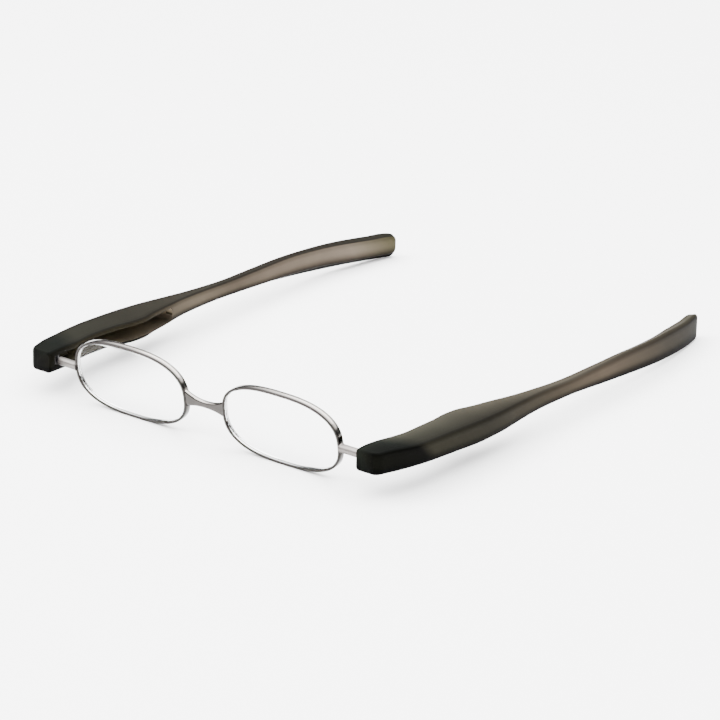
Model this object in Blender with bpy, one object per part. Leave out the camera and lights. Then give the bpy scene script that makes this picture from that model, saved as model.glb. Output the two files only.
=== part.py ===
"""Folding reading glasses with wire rims and twisting, folding temples that take the lenses in.

Everything is drawn in millimetres around the middle of the two rims (X to the right, Y back towards
the temple tips, Z up) and placed at the end, so that the glasses rest on Z = 0 centred on the origin.
"""

import math

import bmesh
import bpy
import numpy as np
from mathutils import Matrix, Vector

# ---- driving dimensions, mm and degrees ----
RIM_HALF_WIDTH = 20.0
RIM_HALF_HEIGHT = 10.46
RIM_SQUARENESS = 2.6        # exponent of the rounded-rectangle outline
RIM_CENTRE_X = 26.48
RIM_TILT = 7.1              # top of the front leans forward
RIM_WIRE = 0.7              # wire thickness across the lens plane
RIM_GROOVE = 0.32           # depth of the V groove that holds the lens
RIM_DEPTH = 2.0
LENS_HALF = 0.95            # half thickness of the lens at its middle
LENS_RADIUS = 490.0         # both faces are shallow spheres
BRIDGE_HALF_DEPTH = 0.8
PIVOT_X = 55.2              # fold axis from the mid plane
STUB_Z = -0.38              # twist axis above the rim centre
SLEEVE_RADIUS = 1.2
TEMPLE_DROOP = 2.1          # temples slope down to the tips at rest
SLOT_HALF = 1.5             # half height of the swing slot of the stub
POCKET_HALF = 1.95          # half height of the lens pocket
POCKET_START, POCKET_END = 8.3, 50.5
POCKET_ROUND = 1.5
WALL = 1.25                 # pocket wall on the outer side
FLOOR = 10.46               # rim centre above the surface the glasses rest on
BACK_SHIFT = -72.117         # puts the middle of the length at the origin
GAP = 0.12

MM = 0.001
SIDES = {"left": -1, "right": 1}

# temple outlines, (distance behind the pivot, value), in the temple's own frame
OUTER = [(-3.4, 4.4), (-3.1, 5.1), (-2.5, 5.8), (0, 6.75), (6, 8.5), (13, 9.75), (25, 10.5), (34, 10.7), (43, 10.4),
         (53, 9.4), (66, 8.35), (78, 8.2), (90, 8.2), (106, 7.85), (116, 7.35), (126, 6.25), (135, 4.7),
         (142, 3.0), (146.3, 1.6), (147.8, 0.6)]
INNER = [(-3.4, -1.15), (-3.1, -1.4), (-2.4, -1.5), (1.5, -1.4), (6, -1.1), (16, 0.25), (25, 0.05),
         (32.6, -0.75), (35.4, -0.7), (41.5, 0.65), (48.5, 1.85), (55.5, 3.15), (64, 4.05), (74, 4.65),
         (90, 4.85), (106, 4.95), (118, 4.1), (130, 1.85), (141.5, -0.6), (146.3, -1.7), (147.8, -1.0)]
TOP = [(-3.4, 2.45), (-3.2, 2.7), (-2.9, 2.8), (10, 2.9), (22, 3.2), (42, 3.1), (62, 2.8), (76, 2.6), (90, 3.05),
       (106, 3.6), (124, 3.4), (138, 2.8), (146.3, 2.45), (147.3, 2.0), (147.8, 1.3)]
BOTTOM = [(-3.4, -2.9), (-3.2, -3.12), (-2.9, -3.2), (8, -3.0), (22, -2.9), (32, -3.05), (43, -2.8), (60, -2.1),
          (76, -1.9), (95, -2.35), (118, -3.1), (132, -3.65), (142, -4.0), (146.2, -4.0), (147.8, -3.3)]
TIP_SLANT = 0.7             # the outer face reaches further down than the inner one near the tips


# ---- helpers ----
def clear_scene():
    for obj in list(bpy.data.objects):
        bpy.data.objects.remove(obj, do_unlink=True)


def material(name, color, metallic=0.0, roughness=0.4, transmission=0.0, ior=1.5):
    mat = bpy.data.materials.new(name)
    mat.use_nodes = True
    shader = mat.node_tree.nodes["Principled BSDF"]
    shader.inputs["Base Color"].default_value = (*color, 1.0)
    shader.inputs["Metallic"].default_value = metallic
    shader.inputs["Roughness"].default_value = roughness
    shader.inputs["Transmission Weight"].default_value = transmission
    shader.inputs["IOR"].default_value = ior
    return mat


def add_object(name, bm, place, mat, smooth=40.0):
    """Turn a bmesh drawn in local millimetres into an object whose origin is at place."""
    bmesh.ops.recalc_face_normals(bm, faces=bm.faces)
    if bm.calc_volume(signed=True) < 0:
        bmesh.ops.reverse_faces(bm, faces=bm.faces)
    bm.transform(Matrix.Scale(MM, 4))
    mesh = bpy.data.meshes.new(name)
    bm.to_mesh(mesh)
    bm.free()
    obj = bpy.data.objects.new(name, mesh)
    bpy.context.scene.collection.objects.link(obj)
    obj.matrix_world = place
    if mat:
        mesh.materials.append(mat)
        mesh.shade_smooth()
        mesh.set_sharp_from_angle(angle=math.radians(smooth))
    return obj


def loft(rings, closed=False):
    """Skin a row of equal rings of points; an open row is capped at both ends."""
    bm = bmesh.new()
    rows = [[bm.verts.new(p) for p in ring] for ring in rings]
    pairs = list(zip(rows, rows[1:])) + ([(rows[-1], rows[0])] if closed else [])
    for a, b in pairs:
        for i in range(len(a)):
            j = (i + 1) % len(a)
            bm.faces.new((a[i], a[j], b[j], b[i]))
    if not closed:
        bm.faces.new(rows[0])
        bm.faces.new(rows[-1])
    return bm


def turned(profile, axis="X", segments=32):
    """A solid of revolution about X or Z from a closed profile of (along, radius)."""
    rings = []
    for k in range(segments):
        t = 2 * math.pi * k / segments
        c, s = math.cos(t), math.sin(t)
        rings.append([(a, r * c, r * s) if axis == "X" else (r * c, r * s, a) for a, r in profile])
    return loft(rings, closed=True)


def cylinder(radius, low, high, axis="Z", segments=32):
    rings = []
    for a in (low, high):
        ring = []
        for k in range(segments):
            t = 2 * math.pi * k / segments
            u, v = radius * math.cos(t), radius * math.sin(t)
            ring.append((u, v, a) if axis == "Z" else (a, u, v))
        rings.append(ring)
    return loft(rings)


def prism(outline, low, high):
    return loft([[(x, y, z) for x, y in outline] for z in (low, high)])


def cut(obj, bm, place):
    """Boolean difference with a hidden helper."""
    cutter = add_object(obj.name + "_cutter", bm, place, None)
    cutter.hide_render = True
    cutter.display_type = "WIRE"
    mod = obj.modifiers.new(cutter.name, "BOOLEAN")
    mod.operation, mod.solver, mod.object = "DIFFERENCE", "EXACT", cutter


def smooth_curve(points, y):
    """Monotone cubic through the points, so that an edge never bulges past them."""
    xs, ys = np.array(points, float).T
    steps = np.diff(xs)
    slopes = np.diff(ys) / steps
    tangents = np.zeros(len(xs))
    tangents[0], tangents[-1] = slopes[0], slopes[-1]
    for i in range(1, len(xs) - 1):
        a, b = slopes[i - 1], slopes[i]
        if a * b > 0:
            tangents[i] = (steps[i - 1] + steps[i]) / (steps[i] / a + steps[i - 1] / b)
    i = int(np.clip(np.searchsorted(xs, y) - 1, 0, len(steps) - 1))
    h, t = steps[i], (y - xs[i]) / steps[i]
    return float((2 * t**3 - 3 * t**2 + 1) * ys[i] + (t**3 - 2 * t**2 + t) * h * tangents[i]
                 + (3 * t**2 - 2 * t**3) * ys[i + 1] + (t**3 - t**2) * h * tangents[i + 1])


def superellipse(half_width, half_height, t):
    c, s = math.cos(t), math.sin(t)
    e = 2 / RIM_SQUARENESS
    return (math.copysign(abs(c) ** e * half_width, c), math.copysign(abs(s) ** e * half_height, s))


def outline_angles(count):
    """Angles that space points evenly along the rounded rectangle."""
    fine = [superellipse(RIM_HALF_WIDTH, RIM_HALF_HEIGHT, 2 * math.pi * k / 2400) for k in range(2401)]
    run = np.concatenate([[0], np.cumsum([math.dist(p, q) for p, q in zip(fine, fine[1:])])])
    wanted = np.linspace(0, run[-1], count, endpoint=False)
    return np.interp(wanted, run, np.linspace(0, 2 * math.pi, 2401))


# ---- places ----
WORLD = Matrix.Translation((0, BACK_SHIFT * MM, FLOOR * MM))


def front_place(side):
    """Middle of a rim, leaning with the front."""
    return (WORLD @ Matrix.Translation((side * RIM_CENTRE_X * MM, 0, 0))
            @ Matrix.Rotation(math.radians(RIM_TILT), 4, "X"))


def pivot_place(side, droop=0.0):
    """Crossing of a side's twist axis and fold axis."""
    return (WORLD @ Matrix.Translation((side * PIVOT_X * MM, 0, STUB_Z * MM))
            @ Matrix.Rotation(-math.radians(droop), 4, "X"))


# ---- the front ----
def rim(name, side, mat):
    half = RIM_DEPTH / 2
    section = [(0, -half + 0.25), (0.2, -half), (RIM_WIRE - 0.12, -half), (RIM_WIRE, -half + 0.15),
               (RIM_WIRE, -0.36), (RIM_WIRE - RIM_GROOVE, 0), (RIM_WIRE, 0.36),
               (RIM_WIRE, half - 0.15), (RIM_WIRE - 0.12, half), (0.2, half), (0, half - 0.25)]
    rings = []
    for t in outline_angles(88):
        ring = []
        for inward, depth in section:
            x, z = superellipse(RIM_HALF_WIDTH - inward, RIM_HALF_HEIGHT - inward, t)
            ring.append((x, depth, z))
        rings.append(ring)
    return add_object(name, loft(rings, closed=True), front_place(side), mat)


def lens(name, side, mat):
    angles = outline_angles(72)

    def ring(share, face, inset=RIM_WIRE + GAP):
        rim_line = [superellipse(RIM_HALF_WIDTH - inset, RIM_HALF_HEIGHT - inset, t) for t in angles]
        points = [(x * share, z * share) for x, z in rim_line]
        return [(x, face * (LENS_HALF - (x * x + z * z) / (2 * LENS_RADIUS)), z) for x, z in points]

    shares = (0.25, 0.5, 0.75, 1)
    ridge = [(x, 0.0, z) for x, y, z in ring(1, 0, RIM_WIRE - RIM_GROOVE + GAP)]
    foot = [[(x, depth, z) for x, y, z in ring(1, 0)] for depth in (-0.26, 0.26)]
    rows = [ring(r, -1) for r in shares] + [foot[0], ridge, foot[1]] + [ring(r, 1) for r in shares[::-1]]
    return add_object(name, loft(rows), front_place(side), mat)


def bridge(name, mat):
    """Flared bar between the rims, waisted in the middle."""
    rings = []
    for k in range(19):
        u = 2 * k / 18 - 1
        flare = abs(u) ** 2.2
        top, bottom = 0.95 + 1.75 * flare, -0.8 - 1.25 * flare
        ring = []
        edge = [(1, 0.45), (0.75, 1), (0.4, 1), (0, 1), (-0.4, 1), (-0.75, 1), (-1, 0.45)]
        for v, w in edge + [(v, -w) for v, w in edge[::-1]]:
            z = (top + bottom) / 2 + v * (top - bottom) / 2
            reach = RIM_CENTRE_X - 1.7 * GAP - superellipse(
                RIM_HALF_WIDTH, RIM_HALF_HEIGHT, math.asin((abs(z) / RIM_HALF_HEIGHT) ** 1.3))[0]
            ring.append((u * reach, w * BRIDGE_HALF_DEPTH, z))
        rings.append(ring)
    return add_object(name, loft(rings), WORLD @ Matrix.Rotation(math.radians(RIM_TILT), 4, "X"), mat)


# ---- one side of the mechanism, drawn for the right and mirrored for the left ----
def mirrored(bm, side):
    bm.transform(Matrix.Scale(side, 4, (1, 0, 0)))
    return bm


def sleeve(name, side, mat):
    """Tube fixed to the rim; its outer lip keeps the spindle in."""
    start = RIM_CENTRE_X + RIM_HALF_WIDTH - PIVOT_X + GAP
    profile = [(start, SLEEVE_RADIUS - 0.2), (start + 0.3, SLEEVE_RADIUS), (-2.25, SLEEVE_RADIUS),
               (-2.0, SLEEVE_RADIUS - 0.2), (-2.0, 0.62), (-2.6, 0.62), (-2.6, 0.92), (start, 0.92)]
    return add_object(name, mirrored(turned(profile), side), pivot_place(side), mat)


def spindle(name, side, mat):
    """Round pin that turns in the sleeve, with the hinge eye on its outer end."""
    start = RIM_CENTRE_X + RIM_HALF_WIDTH - PIVOT_X + 1.2
    shaft = turned([(start, 0), (start, 0.42), (-1.0, 0.42), (-1.0, 0)])
    bmesh.ops.remove_doubles(shaft, verts=shaft.verts, dist=1e-5)
    obj = add_object(name, mirrored(shaft, side), pivot_place(side, TEMPLE_DROOP), mat)
    eye = add_object(name + "_eye", cylinder(1.25, -1.05, 1.05), pivot_place(side, TEMPLE_DROOP), None)
    eye.hide_render = True
    eye.display_type = "WIRE"
    mod = obj.modifiers.new("eye", "BOOLEAN")
    mod.operation, mod.solver, mod.object = "UNION", "EXACT", eye
    cut(obj, cylinder(0.75, -2, 2), pivot_place(side, TEMPLE_DROOP))
    return obj


def collar(name, side, mat):
    """Ring pressed on the inner end of the spindle, behind the lip of the sleeve."""
    place = pivot_place(side, TEMPLE_DROOP)
    return add_object(name, mirrored(turned([(-3.8, 0.45), (-2.9, 0.45), (-2.9, 0.78), (-3.8, 0.78)]), side),
                      place, mat)


def washer(name, side, level, mat):
    low, high = sorted((level * 1.12, level * 1.38))
    profile = [(low, 0.68), (low, 1.25), (high, 1.25), (high, 0.68)]
    return add_object(name, turned(profile, "Z"), pivot_place(side, TEMPLE_DROOP), mat)


def hinge_pin(name, side, mat):
    profile = [(-2.0, 0), (-2.0, 0.55), (2.0, 0.55), (2.15, 0.4), (2.15, 0)]
    bm = turned(profile, "Z")
    bmesh.ops.remove_doubles(bm, verts=bm.verts, dist=1e-5)
    return add_object(name, bm, pivot_place(side, TEMPLE_DROOP), mat)


def plug(name, side, mat):
    """Closes the pin hole from below."""
    return add_object(name, cylinder(0.62, -3.1, -2.15), pivot_place(side, TEMPLE_DROOP), mat)


def temple_ring(y):
    """Rounded cross-section of the temple at a distance behind the pivot."""
    inner, outer = smooth_curve(INNER, y), smooth_curve(OUTER, y)
    bottom, top = smooth_curve(BOTTOM, y), smooth_curve(TOP, y)
    slant = TIP_SLANT * min(max((y - 80) / 40, 0), 1)
    radius = min(1.0, 0.42 * (outer - inner), 0.36 * (top - bottom))
    ring = []
    for sx, sz, start in [(1, 1, 0), (-1, 1, 90), (-1, -1, 180), (1, -1, 270)]:
        edge = (top + 0.3 * sx * slant) if sz > 0 else (bottom - sx * slant)
        mx = (outer if sx > 0 else inner) - sx * radius
        for step in range(5):
            t = math.radians(start + 22.5 * step)
            ring.append((mx + radius * math.cos(t), y, edge - sz * radius + radius * math.sin(t)))
    return ring


def pocket_ring(z):
    """Plan outline of the lens pocket at one level; its ends are rounded in height."""
    rise = max(abs(z) - (POCKET_HALF - POCKET_ROUND), 0) / POCKET_ROUND
    inset = POCKET_ROUND * (1 - math.sqrt(max(1 - rise * rise, 0)))
    front, back = POCKET_START + inset, POCKET_END - inset
    floor = [(smooth_curve(OUTER, y) - WALL - 0.25 * inset, y)
             for y in np.linspace(front + 4.5, back - 4, 13)]
    return [(x, y, z) for x, y in
            [(-6, front), (3.4, front), (6.0, front + 1.2)] + floor + [(6.4, back - 0.6), (4.6, back), (-6, back)]]


def temple(name, side, mat):
    ends = [-3.4, -3.2, -3.0, -2.6, -2.2, -1.4, -0.6]
    tips = [144, 145.6, 146.4, 147.2, 147.8]
    stations = ends + list(np.arange(2, 142.5, 3.0)) + tips
    place = pivot_place(side, TEMPLE_DROOP)
    obj = add_object(name, mirrored(loft([temple_ring(y) for y in stations]), side), place, mat)
    # swing slot of the stub, opening on the inner face and running back into the pocket
    slot = [(-6, -1.45), (0.6, -1.45), (1.8, -0.9), (2.0, 1.2), (3.0, 6.6), (3.2, POCKET_START + 1.5),
            (-6, POCKET_START + 1.5)]
    cut(obj, mirrored(prism(slot, -SLOT_HALF, SLOT_HALF), side), place)
    levels = [POCKET_HALF * t for t in (-1, -0.97, -0.88, -0.7, -0.45, 0, 0.45, 0.7, 0.88, 0.97, 1)]
    cut(obj, mirrored(loft([pocket_ring(z) for z in levels]), side), place)
    cut(obj, cylinder(0.72, -4, 2.3), place)
    return obj


# ---- build ----
def build():
    clear_scene()
    nickel = material("nickel", (0.72, 0.70, 0.68), metallic=1.0, roughness=0.2)
    steel = material("hinge_steel", (0.55, 0.55, 0.56), metallic=1.0, roughness=0.35)
    smoke = material("smoke_plastic", (0.10, 0.095, 0.08), roughness=0.45)
    nylon = material("washer_nylon", (0.75, 0.74, 0.70), roughness=0.5)
    clear = material("lens_clear", (1, 1, 1), roughness=0.02, transmission=1.0)
    bridge("bridge", nickel)
    for word, side in SIDES.items():
        rim("rim_" + word, side, nickel)
        lens("lens_" + word, side, clear)
        sleeve("sleeve_" + word, side, nickel)
        spindle("spindle_" + word, side, steel)
        collar("collar_" + word, side, steel)
        hinge_pin("hinge_pin_" + word, side, steel)
        washer("washer_top_" + word, side, 1, nylon)
        washer("washer_bottom_" + word, side, -1, nylon)
        temple("temple_" + word, side, smoke)
        plug("plug_" + word, side, smoke)


build()
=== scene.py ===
"""Studio scene of folding reading glasses: wire rims, clear lenses and frosted smoke plastic temples.

Shapes are drawn in millimetres around the middle of the two rims and placed by WORLD.
"""

import math

import bmesh
import bpy
import numpy as np
from mathutils import Matrix, Vector


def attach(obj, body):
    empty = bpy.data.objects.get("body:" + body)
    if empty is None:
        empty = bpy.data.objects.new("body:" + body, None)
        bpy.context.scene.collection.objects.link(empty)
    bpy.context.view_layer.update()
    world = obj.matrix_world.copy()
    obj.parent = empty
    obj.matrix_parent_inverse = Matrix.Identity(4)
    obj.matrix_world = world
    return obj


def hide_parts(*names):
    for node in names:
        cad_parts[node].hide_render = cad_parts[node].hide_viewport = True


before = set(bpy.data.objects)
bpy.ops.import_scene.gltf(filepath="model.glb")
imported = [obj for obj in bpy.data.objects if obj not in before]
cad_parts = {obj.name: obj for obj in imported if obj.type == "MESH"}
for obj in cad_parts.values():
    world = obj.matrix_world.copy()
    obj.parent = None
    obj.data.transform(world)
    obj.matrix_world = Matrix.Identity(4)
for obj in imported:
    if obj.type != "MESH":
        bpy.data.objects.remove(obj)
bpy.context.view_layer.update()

MM = 0.001
A, B, N_EXP = 20.0, 10.46, 2.6              # rim half width, half height, squareness
RIM_X, TILT = 26.48, 7.1                    # middle of a rim, and the front's lean in degrees
WIRE, DEPTH = 0.7, 2.0                      # rim wire: across the outline, and front to back
PIVOT_X, STUB_Z, DROOP = 55.2, -0.38, 2.1   # hinge axis, sleeve height, temple slope in degrees
STUB_RADIUS = 0.42                          # spindle
EYE_RADIUS, EYE_HALF, EYE_HOLE = 1.25, 1.05, 0.75
BORE_RADIUS = 0.72                          # hole for the hinge pin in the temple
SLOT, WALL = 1.5, 1.25                      # half height of the swing slot, wall behind the pocket
POCKET_HALF, POCKET_START, POCKET_END, POCKET_ROUND = 1.95, 8.3, 50.5, 1.5
LENS_HALF, LENS_RADIUS = 0.95, 490.0        # half thickness at the middle, radius of both faces
LENS_GAP, LENS_FOOT = 0.1, 0.26             # clearance to the wire, half thickness at the edge
ROUND_STEPS = 64                            # sides of a turned piece
OUTLINE_STEPS = 4800                        # fine steps along which a rim's outline is measured
WORLD = Matrix.Translation((0, -72.117 * MM, 10.46 * MM))
SIDES = {"left": -1, "right": 1}

# The four faces of a temple: distance behind the pivot, and how far outward or upward the face lies there
OUTER = [(-3.4, 4.4), (-3.1, 5.1), (-2.5, 5.8), (0, 6.75), (6, 8.5), (13, 9.75), (25, 10.5),
         (34, 10.7), (43, 10.4), (53, 9.4), (66, 8.35), (78, 8.2), (90, 8.2), (106, 7.85),
         (116, 7.35), (126, 6.25), (135, 4.7), (142, 3.0), (146.3, 1.6), (147.8, 0.6)]
INNER = [(-3.4, -1.15), (-3.1, -1.4), (-2.4, -1.5), (1.5, -1.4), (6, -1.1), (16, 0.25), (25, 0.05),
         (32.6, -0.75), (35.4, -0.7), (41.5, 0.65), (48.5, 1.85), (55.5, 3.15), (64, 4.05),
         (74, 4.65), (90, 4.85), (106, 4.95), (118, 4.1), (130, 1.85), (141.5, -0.6),
         (146.3, -1.7), (147.8, -1.0)]
TOP = [(-3.4, 2.45), (-3.2, 2.7), (-2.9, 2.8), (10, 2.9), (22, 3.2), (42, 3.1), (62, 2.8),
       (76, 2.6), (90, 3.05), (106, 3.6), (124, 3.4), (138, 2.8), (146.3, 2.45), (147.3, 2.0),
       (147.8, 1.3)]
BOTTOM = [(-3.4, -2.9), (-3.2, -3.12), (-2.9, -3.2), (8, -3.0), (22, -2.9), (32, -3.05),
          (43, -2.8), (60, -2.1), (76, -1.9), (95, -2.35), (118, -3.1), (132, -3.65),
          (142, -4.0), (146.2, -4.0), (147.8, -3.3)]
TIP_SLANT = 0.7                             # how much the tail's top and bottom lean across its width

# Painted shade on the temples' faces, as shares of the plain tone; widths and places in mm
TONE_START, TONE_RUN = -5.0, 155.0          # stretch that the stops of a tone list cover
LOW_EDGE_SHADE, LOW_LINE = 0.02, 0.45             # lower long edge: painted shade, tone and width of its dark line
HIGH_EDGE_SHADE, HIGH_LINE = 0.42, 0.3            # upper long edge: the same painted shade
TIP_LINE, TIP_SHADE = 146.9, 0.5             # painted shade round the tip: where it starts, tone


# ---------------------------------------------------------------- mesh helpers
def clamp(value):
    return min(max(value, 0), 1)


def smooth_curve(points, y):
    """Monotone curve through the points, read at y."""
    xs, ys = np.array(points, float).T
    steps = np.diff(xs)
    slopes = np.diff(ys) / steps
    tangents = np.zeros(len(xs))
    tangents[0], tangents[-1] = slopes[0], slopes[-1]
    for i in range(1, len(xs) - 1):
        a, b = slopes[i - 1], slopes[i]
        if a * b > 0:
            tangents[i] = (steps[i - 1] + steps[i]) / (steps[i] / a + steps[i - 1] / b)
    i = int(np.clip(np.searchsorted(xs, y) - 1, 0, len(steps) - 1))
    h, t = steps[i], (y - xs[i]) / steps[i]
    return float((2 * t**3 - 3 * t**2 + 1) * ys[i] + (t**3 - 2 * t**2 + t) * h * tangents[i]
                 + (3 * t**2 - 2 * t**3) * ys[i + 1] + (t**3 - t**2) * h * tangents[i + 1])


def superellipse(a, b, t):
    c, s, e = math.cos(t), math.sin(t), 2 / N_EXP
    return math.copysign(abs(c) ** e * a, c), math.copysign(abs(s) ** e * b, s)


def outline_angles(count):
    """Angles that part the rim's outline into steps of equal length."""
    angles = np.linspace(0, 2 * math.pi, OUTLINE_STEPS + 1)
    fine = [superellipse(A, B, 2 * math.pi * k / OUTLINE_STEPS) for k in range(OUTLINE_STEPS + 1)]
    run = np.concatenate([[0], np.cumsum([math.dist(p, q) for p, q in zip(fine, fine[1:])])])
    return np.interp(np.linspace(0, run[-1], count, endpoint=False), run, angles)


def loft(rings, closed=False):
    bm = bmesh.new()
    rows = [[bm.verts.new(p) for p in ring] for ring in rings]
    for a, b in list(zip(rows, rows[1:])) + ([(rows[-1], rows[0])] if closed else []):
        for i in range(len(a)):
            j = (i + 1) % len(a)
            bm.faces.new((a[i], a[j], b[j], b[i]))
    if not closed:
        bm.faces.new(rows[0])
        bm.faces.new(rows[-1])
    return bm


def turned(profile, axis="X"):
    """Turn a profile of (place along the axis, radius) round the X or the Z axis."""
    rings = []
    for k in range(ROUND_STEPS):
        t = 2 * math.pi * k / ROUND_STEPS
        c, s = math.cos(t), math.sin(t)
        rings.append([(a, r * c, r * s) if axis == "X" else (r * c, r * s, a) for a, r in profile])
    bm = loft(rings, closed=True)
    bmesh.ops.remove_doubles(bm, verts=bm.verts, dist=1e-4)
    return bm


def cylinder(radius, low, high):
    return turned([(low, 0), (low, radius), (high, radius), (high, 0)], "Z")


def make(name, bm, place, mat, smooth=35.0):
    bmesh.ops.recalc_face_normals(bm, faces=bm.faces)
    if bm.calc_volume(signed=True) < 0:
        bmesh.ops.reverse_faces(bm, faces=bm.faces)
    bm.transform(Matrix.Scale(MM, 4))
    mesh = bpy.data.meshes.new(name)
    bm.to_mesh(mesh)
    bm.free()
    obj = bpy.data.objects.new(name, mesh)
    bpy.context.scene.collection.objects.link(obj)
    obj.matrix_world = place
    if mat:
        mesh.materials.append(mat)
    mesh.shade_smooth()
    mesh.set_sharp_from_angle(angle=math.radians(smooth))
    return obj


def boolean(obj, other, operation="DIFFERENCE"):
    mod = obj.modifiers.new(operation.lower(), "BOOLEAN")
    mod.operation, mod.solver, mod.object = operation, "EXACT", other


def settle(obj, helpers):
    """Apply the modifiers and drop the helper objects."""
    bpy.context.view_layer.update()
    graph = bpy.context.evaluated_depsgraph_get()
    mesh = bpy.data.meshes.new_from_object(obj.evaluated_get(graph))
    obj.modifiers.clear()
    old, obj.data = obj.data, mesh
    bpy.data.meshes.remove(old)
    for helper in helpers:
        bpy.data.objects.remove(helper, do_unlink=True)
    mesh.shade_smooth()
    mesh.set_sharp_from_angle(angle=math.radians(32))


def soften(obj, width):
    """Round the sharp edges."""
    mod = obj.modifiers.new("edge", "BEVEL")
    mod.width, mod.segments, mod.limit_method = width * MM, 2, "ANGLE"
    mod.angle_limit = math.radians(35)


def mirrored(bm, side):
    bm.transform(Matrix.Scale(side, 4, (1, 0, 0)))
    return bm


def paint_light_and_shade(obj, tone):
    """Store painted light and shade on a metal piece: how bright each vertex is, from tone(position in mm,
    normal).
    """
    marks = obj.data.color_attributes.new("edge", "FLOAT_COLOR", "POINT")
    for vertex, mark in zip(obj.data.vertices, marks.data):
        level = tone(vertex.co / MM, vertex.normal)
        mark.color = (level, level, level, 1.0)
    return obj


def front_place(side):
    return (WORLD @ Matrix.Translation((side * RIM_X * MM, 0, 0))
            @ Matrix.Rotation(math.radians(TILT), 4, "X"))


def pivot_place(side, droop=DROOP):
    return (WORLD @ Matrix.Translation((side * PIVOT_X * MM, 0, STUB_Z * MM))
            @ Matrix.Rotation(-math.radians(droop), 4, "X"))


# ---------------------------------------------------------------- materials
class Nodes:
    """Short calls to wire a material's node tree."""

    def __init__(self, tree):
        self.tree = tree

    def new(self, kind, **values):
        node = self.tree.nodes.new(kind)
        for key, value in values.items():
            if hasattr(node, key) and key not in node.inputs:
                setattr(node, key, value)
            else:
                self.set(node, key, value)
        return node

    def set(self, node, key, value):
        numbered = key.startswith("in") and key[2:].isdigit()
        socket = node.inputs[int(key[2:]) if numbered else key]
        if isinstance(value, bpy.types.NodeSocket):
            self.tree.links.new(value, socket)
        else:
            socket.default_value = value

    def math(self, operation, a, b=0.0, clamp=False):
        node = self.tree.nodes.new("ShaderNodeMath")
        node.operation, node.use_clamp = operation, clamp
        self.set(node, "in0", a)
        self.set(node, "in1", b)
        return node.outputs[0]

    def ramp(self, fac, stops):
        node = self.tree.nodes.new("ShaderNodeValToRGB")
        while len(node.color_ramp.elements) < len(stops):
            node.color_ramp.elements.new(0.5)
        for element, (at, color) in zip(node.color_ramp.elements, stops):
            element.position = at
            element.color = (*color, 1.0) if len(color) == 3 else color
        self.set(node, "Fac", fac)
        return node.outputs["Color"]

    def mix(self, fac, a, b, blend="MIX"):
        node = self.tree.nodes.new("ShaderNodeMix")
        node.data_type, node.blend_type = "RGBA", blend
        for socket, value in ((node.inputs[0], fac), (node.inputs[6], a), (node.inputs[7], b)):
            if isinstance(value, bpy.types.NodeSocket):
                self.tree.links.new(value, socket)
            else:
                socket.default_value = value if isinstance(value, float) else (*value, 1.0)[:4]
        return node.outputs[2]

    def noise(self, vector, scale, detail=4.0, roughness=0.5):
        node = self.new("ShaderNodeTexNoise", Scale=scale, Detail=detail, Roughness=roughness)
        self.tree.links.new(vector, node.inputs["Vector"])
        return node.outputs["Fac"]

    def bump(self, height, strength, distance):
        node = self.new("ShaderNodeBump", Strength=strength, Distance=distance)
        self.tree.links.new(height, node.inputs["Height"])
        return node.outputs["Normal"]


def blank(name):
    mat = bpy.data.materials.new(name)
    mat.use_nodes = True
    n = Nodes(mat.node_tree)
    shader = mat.node_tree.nodes["Principled BSDF"]
    coords = n.new("ShaderNodeTexCoord").outputs["Object"]
    return mat, n, shader, coords


def metal(name, color, rough, streak=(60, 1800, 1800), wear=0.06, painted_light=False):
    """Plated metal with fine drawn lines, faint cloudiness and tiny dings, and, when asked, painted light
    and shade from a vertex attribute.
    """
    mat, n, shader, coords = blank(name)
    stretch = n.new("ShaderNodeMapping", Vector=coords, Scale=streak).outputs[0]
    lines = n.noise(stretch, 1.0, 6.0)
    cloud = n.noise(coords, 420.0, 3.0)
    specks = n.noise(coords, 4200.0, 2.0, 0.7)
    dark = tuple(c * (1 - wear) for c in color)
    base = n.mix(n.math("MULTIPLY", cloud, lines), color, dark)
    if painted_light:                               # painted shade and painted highlight, stored per vertex in the edge attribute
        edge = n.new("ShaderNodeAttribute", attribute_name="edge")
        base = n.mix(1.0, base, edge.outputs["Color"], "MULTIPLY")
    n.set(shader, "Base Color", base)
    n.set(shader, "Metallic", 1.0)
    n.set(shader, "Roughness", n.math("ADD", rough - 0.04, n.math("MULTIPLY", cloud, 0.10)))
    height = n.math("ADD", n.math("MULTIPLY", lines, 0.6), n.math("MULTIPLY", specks, 0.4))
    n.set(shader, "Normal", n.bump(height, 0.10, 0.00004))
    return mat


def plastic(name, color, rough):
    """Dull moulded plastic of the small hidden pieces, with a fine grain."""
    mat, n, shader, coords = blank(name)
    cloud = n.noise(coords, 300.0, 4.0)
    n.set(shader, "Base Color", n.mix(cloud, color, tuple(c * 0.85 for c in color)))
    n.set(shader, "Roughness", n.math("ADD", rough - 0.05, n.math("MULTIPLY", cloud, 0.1)))
    shader.inputs["Specular IOR Level"].default_value = 0.03
    n.set(shader, "Normal", n.bump(n.noise(coords, 3000.0, 3.0), 0.15, 0.00003))
    return mat


def lens_material():
    """Clear lens with a trace of dust and hair-thin wipe marks."""
    mat, n, shader, coords = blank("lens_clear")
    dust = n.ramp(n.noise(coords, 2600.0, 2.0, 0.6), [(0.62, (0, 0, 0)), (0.78, (1, 1, 1))])
    wipes = n.noise(n.new("ShaderNodeMapping", Vector=coords, Scale=(200, 200, 2600),
                          Rotation=(0, 0.5, 0)).outputs[0], 1.0, 5.0)
    n.set(shader, "Base Color", (0.985, 0.992, 0.99, 1.0))
    n.set(shader, "Transmission Weight", 1.0)
    n.set(shader, "IOR", 1.22)
    shader.inputs["Specular Tint"].default_value = (0.02, 0.02, 0.02, 1.0)
    n.set(shader, "Roughness", n.math("ADD", 0.004, n.math("MULTIPLY", dust, 0.03)))
    n.set(shader, "Normal", n.bump(wipes, 0.01, 0.00001))
    return mat


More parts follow.
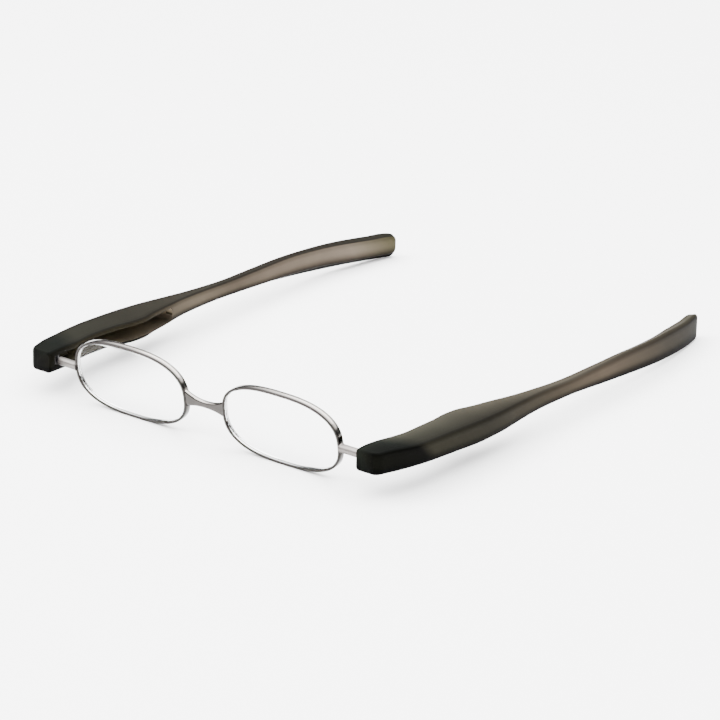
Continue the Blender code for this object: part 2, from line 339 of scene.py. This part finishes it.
def smoke_material(name, outer, inner, top, rough, pocket_painted_light=False):
    """Frosted smoke plastic. Each list of stops: distance behind the pivot in mm, and the tone there; the
    outer, inner and top lists differ by painted light and shade on one plastic.
    """
    mat, n, shader, coords = blank(name)
    axes = n.new("ShaderNodeSeparateXYZ", Vector=coords)
    cloud = n.noise(coords, 70.0, 4.0)
    grain = n.noise(coords, 2400.0, 4.0, 0.65)
    across = n.math("ABSOLUTE", axes.outputs["X"])
    # the solid head ends in a round front, further back on the outer side than on the inner one
    place = n.math("ADD", axes.outputs["Y"], n.math("MULTIPLY", across, -0.35))
    place = n.math("ADD", place, n.math("MULTIPLY", axes.outputs["Z"], 0.8))
    place = n.math("ADD", place, n.math("MULTIPLY", n.math("SUBTRACT", cloud, 0.5), 0.004))
    along = n.math("DIVIDE", n.math("ADD", place, -TONE_START * MM), TONE_RUN * MM, clamp=True)
    tones = [n.ramp(along, [((y - TONE_START) / TONE_RUN, tone) for y, tone in stops])
             for stops in (outer, inner, top)]
    marks = n.new("ShaderNodeAttribute", attribute_name="face")
    parts = n.new("ShaderNodeSeparateColor", Color=marks.outputs["Color"])
    flank = n.mix(parts.outputs["Green"], tones[0], tones[1])
    body = n.mix(parts.outputs["Red"], tones[2], flank)
    shade = n.math("ADD", 0.82, n.math("MULTIPLY", cloud, 0.36))
    if pocket_painted_light:                               # painted light: the upper part of the pocket, which lies in shade, gets a lighter tone and the bottom a darker one
        per_height = 0.5 / (POCKET_HALF * MM)
        up = n.math("ADD", 0.5, n.math("MULTIPLY", axes.outputs["Z"], per_height), clamp=True)
        level = n.math("ADD", 0.5, n.math("MULTIPLY", n.math("POWER", up, 2.0), 7.0))
    else:
        level = parts.outputs["Blue"]
    # painted light and shade scale the tone
    shade = n.math("MULTIPLY", shade, level)
    toned = n.new("ShaderNodeVectorMath", operation="SCALE", in0=body, Scale=shade)
    n.set(shader, "Base Color", toned.outputs[0])
    n.set(shader, "Roughness", n.math("ADD", rough - 0.06, n.math("MULTIPLY", grain, 0.12)))
    shader.inputs["IOR"].default_value = 1.5
    shader.inputs["Specular IOR Level"].default_value = 0.012
    n.set(shader, "Normal", n.bump(grain, 0.12, 0.00005))
    return mat


def in_pocket(x, y, z):
    """Whether a point of the temple, in mm, is on the wall of the swing slot or of the pocket."""
    return (abs(z) < POCKET_HALF + 0.02 and -1.5 < y < POCKET_END
            and smooth_curve(INNER, y) + 0.05 < x < smooth_curve(OUTER, y) - 0.9)


def mark_faces(obj, side):
    """Store where the temple's tones lie, as a colour attribute.

    Red is 1 on the flanks and 0 on the top and the bottom, green is 1 on the half toward the other
    temple, and blue is painted light and shade: painted shade along the long edges and round the tip,
    a painted highlight along the inner edge of the right top face, and painted shade on the left top face.
    """
    mesh = obj.data
    marks = mesh.color_attributes.new("face", "FLOAT_COLOR", "POINT")
    for vertex, mark in zip(mesh.vertices, marks.data):
        x, y, z = vertex.co / MM
        x *= side
        inner, outer = smooth_curve(INNER, y), smooth_curve(OUTER, y)
        bottom, top = smooth_curve(BOTTOM, y), smooth_curve(TOP, y)
        inward = float(x < (inner + outer) / 2)
        dx, dz = max(min(x - inner, outer - x), 0), max(min(z - bottom, top - z), 0)
        flank = clamp((dz - dx) / 0.5 + 0.5)
        # painted shade: dark lines along the lower and upper long edges
        reach = min(2.2, 0.36 * (top - bottom))
        spread = 1.1 + 0.45 * inward * clamp((y - 95) / 30)
        rise = clamp((dx + max(z - bottom, 0) - LOW_LINE) / (spread * reach))
        low = LOW_EDGE_SHADE + (1 - LOW_EDGE_SHADE) * rise * rise * (3 - 2 * rise)
        high = HIGH_EDGE_SHADE + (1 - HIGH_EDGE_SHADE) * clamp((dx + max(top - z, 0) - HIGH_LINE) / (0.6 * reach))
        if side > 0:                         # painted highlight: the right top face is lightest along its inner edge
            share = clamp((x - inner) / (outer - inner))
            amount = (1 - flank) * clamp((76 - y) / 30) * float(z > 0)
            high += (1 - high) * amount * float(share < 0.5)
            fall = 1.7 + clamp((24 - y) / 12)
            high *= 1 + amount * (2.15 * (1 - share) ** fall - 0.25)
        level = min(low, high) if low < 1 else high
        # painted shade round the tip
        if y > TIP_LINE:
            level *= TIP_SHADE
        if side < 0:                         # painted light and shade: the left top face is lighter at the head, darker in the tail
            near = 0.78 + 0.55 * clamp((8 - y) / 8)
            level *= flank + (1 - flank) * (near - 0.48 * clamp((y - 45) / 30))
        mark.color = (flank, inward, level, 1.0)


NICKEL = metal("nickel", (0.17, 0.157, 0.147), 0.14, painted_light=True)
SATIN = metal("nickel_satin", (0.17, 0.157, 0.147), 0.40, painted_light=True)
STEEL = metal("hinge_steel", (0.016, 0.0155, 0.015), 0.35, (900, 900, 900), 0.12)
# The plastic's own tone along the temple, with painted light and shade that make the outer, inner and top
# faces lighter or darker
SMOKE = smoke_material(
    "smoke_plastic",
    [(-5, (0.0014, 0.0015, 0.0009)), (8, (0.0008, 0.0008, 0.0006)), (11.5, (0.0105, 0.0098, 0.0066)),
     (35, (0.0098, 0.0089, 0.0063)), (60, (0.0190, 0.0157, 0.0107)), (90, (0.040, 0.031, 0.0222)),
     (122, (0.0180, 0.0152, 0.0112)), (148, (0.0055, 0.0050, 0.0038))],
    [(-5, (0.002, 0.002, 0.0013)), (4, (0.005, 0.0046, 0.003)), (10, (0.0125, 0.0108, 0.0065)),
     (40, (0.015, 0.0125, 0.008)), (60, (0.058, 0.047, 0.034)), (80, (0.046, 0.0366, 0.0272)),
     (105, (0.066, 0.0526, 0.040)), (130, (0.092, 0.075, 0.058)), (148, (0.033, 0.030, 0.015))],
    [(-5, (0.0014, 0.0017, 0.0012)), (6, (0.0021, 0.0025, 0.0019)), (13, (0.0098, 0.0096, 0.0072)),
     (35, (0.0098, 0.009, 0.0068)), (50, (0.0125, 0.0112, 0.0083)), (75, (0.030, 0.0262, 0.020)),
     (110, (0.029, 0.0245, 0.0185)), (148, (0.022, 0.020, 0.0145))],
    0.5)
# Tones inside the pocket, lighter than the outer faces: painted light against the shade in the pocket
pocket_tones = [(-5, (0.006, 0.006, 0.004)), (4, (0.02, 0.018, 0.012)), (10, (0.052, 0.046, 0.031)),
       (28, (0.058, 0.049, 0.034)), (38, (0.066, 0.055, 0.04)), (50, (0.034, 0.028, 0.02))]
POCKET = smoke_material("smoke_pocket", pocket_tones, pocket_tones, pocket_tones, 0.6, pocket_painted_light=True)
PLUG = plastic("plug_plastic", (0.003, 0.003, 0.0025), 0.5)
NYLON = plastic("washer_nylon", (0.02, 0.02, 0.019), 0.5)
LENS = lens_material()


# ---------------------------------------------------------------- pieces
def rim(side):
    """Wire rim. Its section is drawn as (distance in from the outline, distance back)."""
    half, curve = DEPTH / 2, 0.24
    flat = half - curve
    section = []
    for k in range(13):                      # flat outer wall with rounded long edges
        t, turn = math.radians(15 * k), (k > 6) - (k < 6)
        section.append((curve * (1 - math.sin(t) ** 0.8), turn * flat - curve * math.cos(t)))
    edge, shy = 0.12, 0.035                  # small rounded edges of the inner wall
    section += [(WIRE - edge, half), (WIRE - shy, half - shy), (WIRE, half - edge)]
    section += [(WIRE, 0.36), (WIRE - 0.15, 0.19), (WIRE - 0.3, 0), (WIRE - 0.15, -0.19), (WIRE, -0.36)]
    section += [(WIRE, edge - half), (WIRE - shy, shy - half), (WIRE - edge, -half)]
    rings = []
    for t in outline_angles(220):
        rings.append([(x, d, z) for i, d in section for x, z in [superellipse(A - i, B - i, t)]])
    obj = make("wire_rim", loft(rings, True), front_place(side), NICKEL, 50)

    def tone(at, normal):
        if abs(at.y) > half - 0.18:          # narrow front and back faces: painted shade
            return 0.14 if at.y < 0 else 0.3
        # painted highlight on faces turned up, painted shade on the rest
        return 0.4 + 2.2 * max(normal.z, 0)

    return paint_light_and_shade(obj, tone)


def lens(side):
    angles = outline_angles(160)

    def ring(share, face, inset=WIRE + LENS_GAP):
        points = [(x * share, z * share) for x, z in (superellipse(A - inset, B - inset, t) for t in angles)]
        return [(x, face * (LENS_HALF - (x * x + z * z) / (2 * LENS_RADIUS)), z) for x, z in points]

    ridge = [(x, 0.0, z) for x, y, z in ring(1, 0, WIRE - 0.2)]
    foot = [[(x, depth, z) for x, y, z in ring(1, 0)] for depth in (-LENS_FOOT, LENS_FOOT)]
    shares = [0.02, 0.1, 0.2, 0.3, 0.4, 0.5, 0.6, 0.7, 0.8, 0.9, 0.96, 0.992]
    edge = [[(x, y * 0.97, z) for x, y, z in ring(1, face)] for face in (-1, 1)]
    rows = [ring(r, -1) for r in shares] + [edge[0], foot[0], ridge, foot[1], edge[1]]
    rows += [ring(r, 1) for r in shares[::-1]]
    return make("lens_disc", loft(rows), front_place(side), LENS, 30)


def bridge_edges(share):
    """Top and bottom of the bridge, at a share of the way from its middle to a rim."""
    flare = share ** 2.2
    return 0.95 + 1.75 * flare, -0.8 - 1.25 * flare


def bridge():
    rings = []
    for k in range(61):
        u = 2 * k / 60 - 1
        top, bottom = bridge_edges(abs(u))
        ring = []
        for j in range(40):
            t = 2 * math.pi * j / 40
            c, s = math.cos(t), math.sin(t)
            z = (top + bottom) / 2 + (top - bottom) / 2 * math.copysign(abs(s) ** 0.55, s)
            y = 0.8 * math.copysign(abs(c) ** 0.55, c)
            reach = RIM_X + 0.12 - superellipse(A, B, math.asin(min(1, (abs(z) / B) ** 1.3)))[0]
            ring.append((u * reach, y, z))
        rings.append(ring)
    obj = make("bridge_bar", loft(rings), WORLD @ Matrix.Rotation(math.radians(TILT), 4, "X"), NICKEL, 50)

    def tone(at, normal):
        low = bridge_edges(min(abs(at.x) / (RIM_X - A), 1))[1]
        # painted light: darker front with painted shade along its lower edge, lighter back, a painted
        # highlight on the top and painted shade on the other faces
        if normal.y < -0.5:
            return 0.27 if at.z > low + 0.3 else 0.08
        if normal.y > 0.5:
            return 0.5
        return 1.6 if normal.z > 0.5 and at.y < 0.15 else 0.08

    return paint_light_and_shade(obj, tone)


def sleeve(side):
    start = RIM_X + A - PIVOT_X - 0.25
    profile = [(start, 1.42), (start + 0.2, 1.4), (start + 0.45, 1.26), (start + 0.8, 1.2)]   # flared foot
    profile += [(-2.35, 1.2), (-2.15, 1.14), (-2.02, 1.02), (-2.0, 0.9)]                      # rounded mouth
    profile += [(-2.0, 0.62), (-2.6, 0.62), (-2.6, 0.92), (start, 0.92)]                      # collar's seat
    obj = make("sleeve_tube", mirrored(turned(profile), side), pivot_place(side, 0), SATIN, 40)
    # painted light: faces turned to the front and up are lighter, the lower and back faces carry painted
    # shade
    light_facing = Vector((0, -0.75, 0.66))
    return paint_light_and_shade(obj, lambda at, normal: 0.25 + 0.75 * max(normal.dot(light_facing), 0) ** 0.7)


def spindle(side):
    place = pivot_place(side)
    start = RIM_X + A - PIVOT_X + 1.2
    stub = turned([(start, 0), (start, STUB_RADIUS), (-1.0, STUB_RADIUS), (-1.0, 0)])
    obj = make("spindle_pin", mirrored(stub, side), place, STEEL)
    eye = make("eye", cylinder(EYE_RADIUS, -EYE_HALF, EYE_HALF), place, None)
    hole = make("hole", cylinder(EYE_HOLE, -2, 2), place, None)
    boolean(obj, eye, "UNION")
    boolean(obj, hole)
    settle(obj, [eye, hole])
    soften(obj, 0.1)
    return obj


def temple_ring(y, steps=9, between=5):
    """Section of the temple at y: rounded corners of `steps` points, and `between` points on each face.

    The points on the flat faces are there to carry their tones.
    """
    inner, outer = smooth_curve(INNER, y), smooth_curve(OUTER, y)
    bottom, top = smooth_curve(BOTTOM, y), smooth_curve(TOP, y)
    slant = TIP_SLANT * clamp((y - 80) / 40)
    radius = min(1.0, 0.42 * (outer - inner), 0.36 * (top - bottom))
    ring = []
    for sx, sz, start in ((1, 1, 0), (-1, 1, 90), (-1, -1, 180), (1, -1, 270)):
        edge = (top + 0.3 * sx * slant) if sz > 0 else (bottom - sx * slant)
        mx = (outer if sx > 0 else inner) - sx * radius
        for step in range(steps):
            t = math.radians(start + 90 * step / (steps - 1))
            ring.append((mx + radius * math.cos(t), y, edge - sz * radius + radius * math.sin(t)))
    full = []
    for k, (here, there) in enumerate(zip(ring, ring[1:] + ring[:1])):
        full.append(here)
        if k % steps == steps - 1:
            shares = [i / (between + 1) for i in range(1, between + 1)]
            full += [tuple(Vector(here).lerp(there, share)) for share in shares]
    return full


def pocket_ring(z):
    """Outline of the pocket at height z, smaller toward its rounded top and bottom."""
    rise = max(abs(z) - (POCKET_HALF - POCKET_ROUND), 0) / POCKET_ROUND
    inset = POCKET_ROUND * (1 - math.sqrt(max(1 - rise * rise, 0)))
    front, back = POCKET_START + inset, POCKET_END - inset
    start = [(-6, front), (3.4, front), (6.0, front + 1.2)]
    floor = [(smooth_curve(OUTER, y) - WALL - 0.25 * inset, y)
             for y in np.linspace(front + 4.5, back - 4, 40)]
    end = [(6.4, back - 0.6), (4.6, back), (-6, back)]
    return [(x, y, z) for x, y in start + floor + end]


def temple(side):
    stations = [-3.4, -3.3, -3.2, -3.1, -3.0, -2.8, -2.6, -2.4, -2.2, -1.8, -1.4, -1.0, -0.6]
    stations += list(np.arange(0.5, 144, 1.5))
    stations += [144.8, 145.6, 146, 146.4, 146.8, 147.2, 147.5, 147.8]
    place = pivot_place(side)
    obj = make("temple_arm", mirrored(loft([temple_ring(y) for y in stations]), side), place, SMOKE)
    slot_end = POCKET_START + 1.5            # the swing slot opens into the pocket
    slot = [(-6, -1.45), (0.6, -1.45), (1.8, -0.9), (2.0, 1.2), (3.0, 6.6), (3.2, slot_end), (-6, slot_end)]
    walls = [[(x, y, z) for x, y in slot] for z in (-SLOT, SLOT)]
    swing = make("swing", mirrored(loft(walls), side), place, None)
    levels = [POCKET_HALF * math.sin(math.radians(a)) for a in range(-90, 91, 9)]
    pocket = make("pocket", mirrored(loft([pocket_ring(z) for z in levels]), side), place, None)
    bore = make("bore", cylinder(BORE_RADIUS, -4, 2.3), place, None)
    for cutter in (swing, pocket, bore):
        boolean(obj, cutter)
    settle(obj, [swing, pocket, bore])
    mark_faces(obj, side)
    obj.data.materials.append(POCKET)
    for face in obj.data.polygons:
        x, y, z = face.center / MM
        if in_pocket(side * x, y, z):
            face.material_index = 1
    return obj


def add_pieces():
    bar = bridge()
    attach(bar, "front")
    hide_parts("bridge")
    for word, side in SIDES.items():
        made = [(rim, "front", "rim_", "nickel"), (lens, "front", "lens_", "clear"),
                (sleeve, "front", "sleeve_", "nickel"),
                (spindle, "spindle_body_" + word, "spindle_", "steel"),
                (temple, "temple_body_" + word, "temple_", "smoke")]
        for maker, body, node, slot in made:
            obj = maker(side)
            obj.name = obj.name + "_" + word
            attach(obj, body)
            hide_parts(node + word)
        kept = {"collar_": STEEL, "hinge_pin_": STEEL, "plug_": PLUG,
                "washer_top_": NYLON, "washer_bottom_": NYLON}
        for node, mat in kept.items():
            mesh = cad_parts[node + word].data
            mesh.materials.clear()
            mesh.materials.append(mat)


# ---------------------------------------------------------------- studio
def studio():
    """Pale floor, a sky whose dark band shapes the reflections in the wire, and three soft lights."""
    floor_mat, n, shader, coords = blank("studio_floor")
    cloud = n.noise(coords, 6.0, 3.0)
    n.set(shader, "Base Color", n.mix(cloud, (0.95, 0.95, 0.95), (0.97, 0.97, 0.97)))
    n.set(shader, "Roughness", 0.65)
    bm = bmesh.new()
    bmesh.ops.create_grid(bm, x_segments=4, y_segments=4, size=40000)
    floor = make("floor", bm, Matrix.Translation((0, 0, -0.00002)), floor_mat)

    world = bpy.data.worlds.new("studio")
    bpy.context.scene.world = world
    world.use_nodes = True
    n = Nodes(world.node_tree)
    sky = n.new("ShaderNodeTexCoord").outputs["Generated"]
    height = n.new("ShaderNodeSeparateXYZ", Vector=sky).outputs["Z"]
    greys = [(0.0, 1.0), (0.46, 0.9), (0.512, 0.9), (0.52, 0.03), (0.69, 0.05), (0.77, 0.9), (1.0, 1.0)]
    tone = n.ramp(n.math("ADD", n.math("MULTIPLY", height, 0.5), 0.5),
                  [(at, (grey, grey, grey)) for at, grey in greys])
    background = world.node_tree.nodes["Background"]
    n.set(background, "Color", tone)
    n.set(background, "Strength", 5.0)

    lights = (("top", (-0.05, 0.0, 0.95), 50.0, 1.6),       # name, place, watts, size
              ("key", (-0.75, -0.55, 0.75), 20.0, 0.8),
              ("side", (0.9, -0.3, 0.45), 5.0, 0.5))
    for name, place, energy, size in lights:
        light = bpy.data.lights.new(name, "AREA")
        light.energy, light.size = energy, size
        obj = bpy.data.objects.new(name, light)
        bpy.context.scene.collection.objects.link(obj)
        obj.location = place
        obj.rotation_euler = (-Vector(place)).to_track_quat("-Z", "Y").to_euler()


def camera():
    """Long lens from the front right, a little above, with the glasses left of and below its axis."""
    azimuth, elevation = math.radians(39.27), math.radians(20.87)
    distance, aside, above = 976.9, 40.68, 11.78
    back = Vector((math.sin(azimuth) * math.cos(elevation), -math.cos(azimuth) * math.cos(elevation),
                   math.sin(elevation)))
    right = Vector((math.cos(azimuth), math.sin(azimuth), 0))
    up = back.cross(right)
    spot = (back * distance + right * aside + up * above) * MM
    data = bpy.data.cameras.new("camera")
    data.lens, data.sensor_width, data.clip_start = 184.9, 36.0, 0.01
    obj = bpy.data.objects.new("camera", data)
    bpy.context.scene.collection.objects.link(obj)
    turn = Matrix((right, up, back)).transposed().to_4x4()
    obj.matrix_world = WORLD @ Matrix.Translation(spot) @ turn
    bpy.context.scene.camera = obj


add_pieces()
studio()
camera()
bpy.context.view_layer.update()
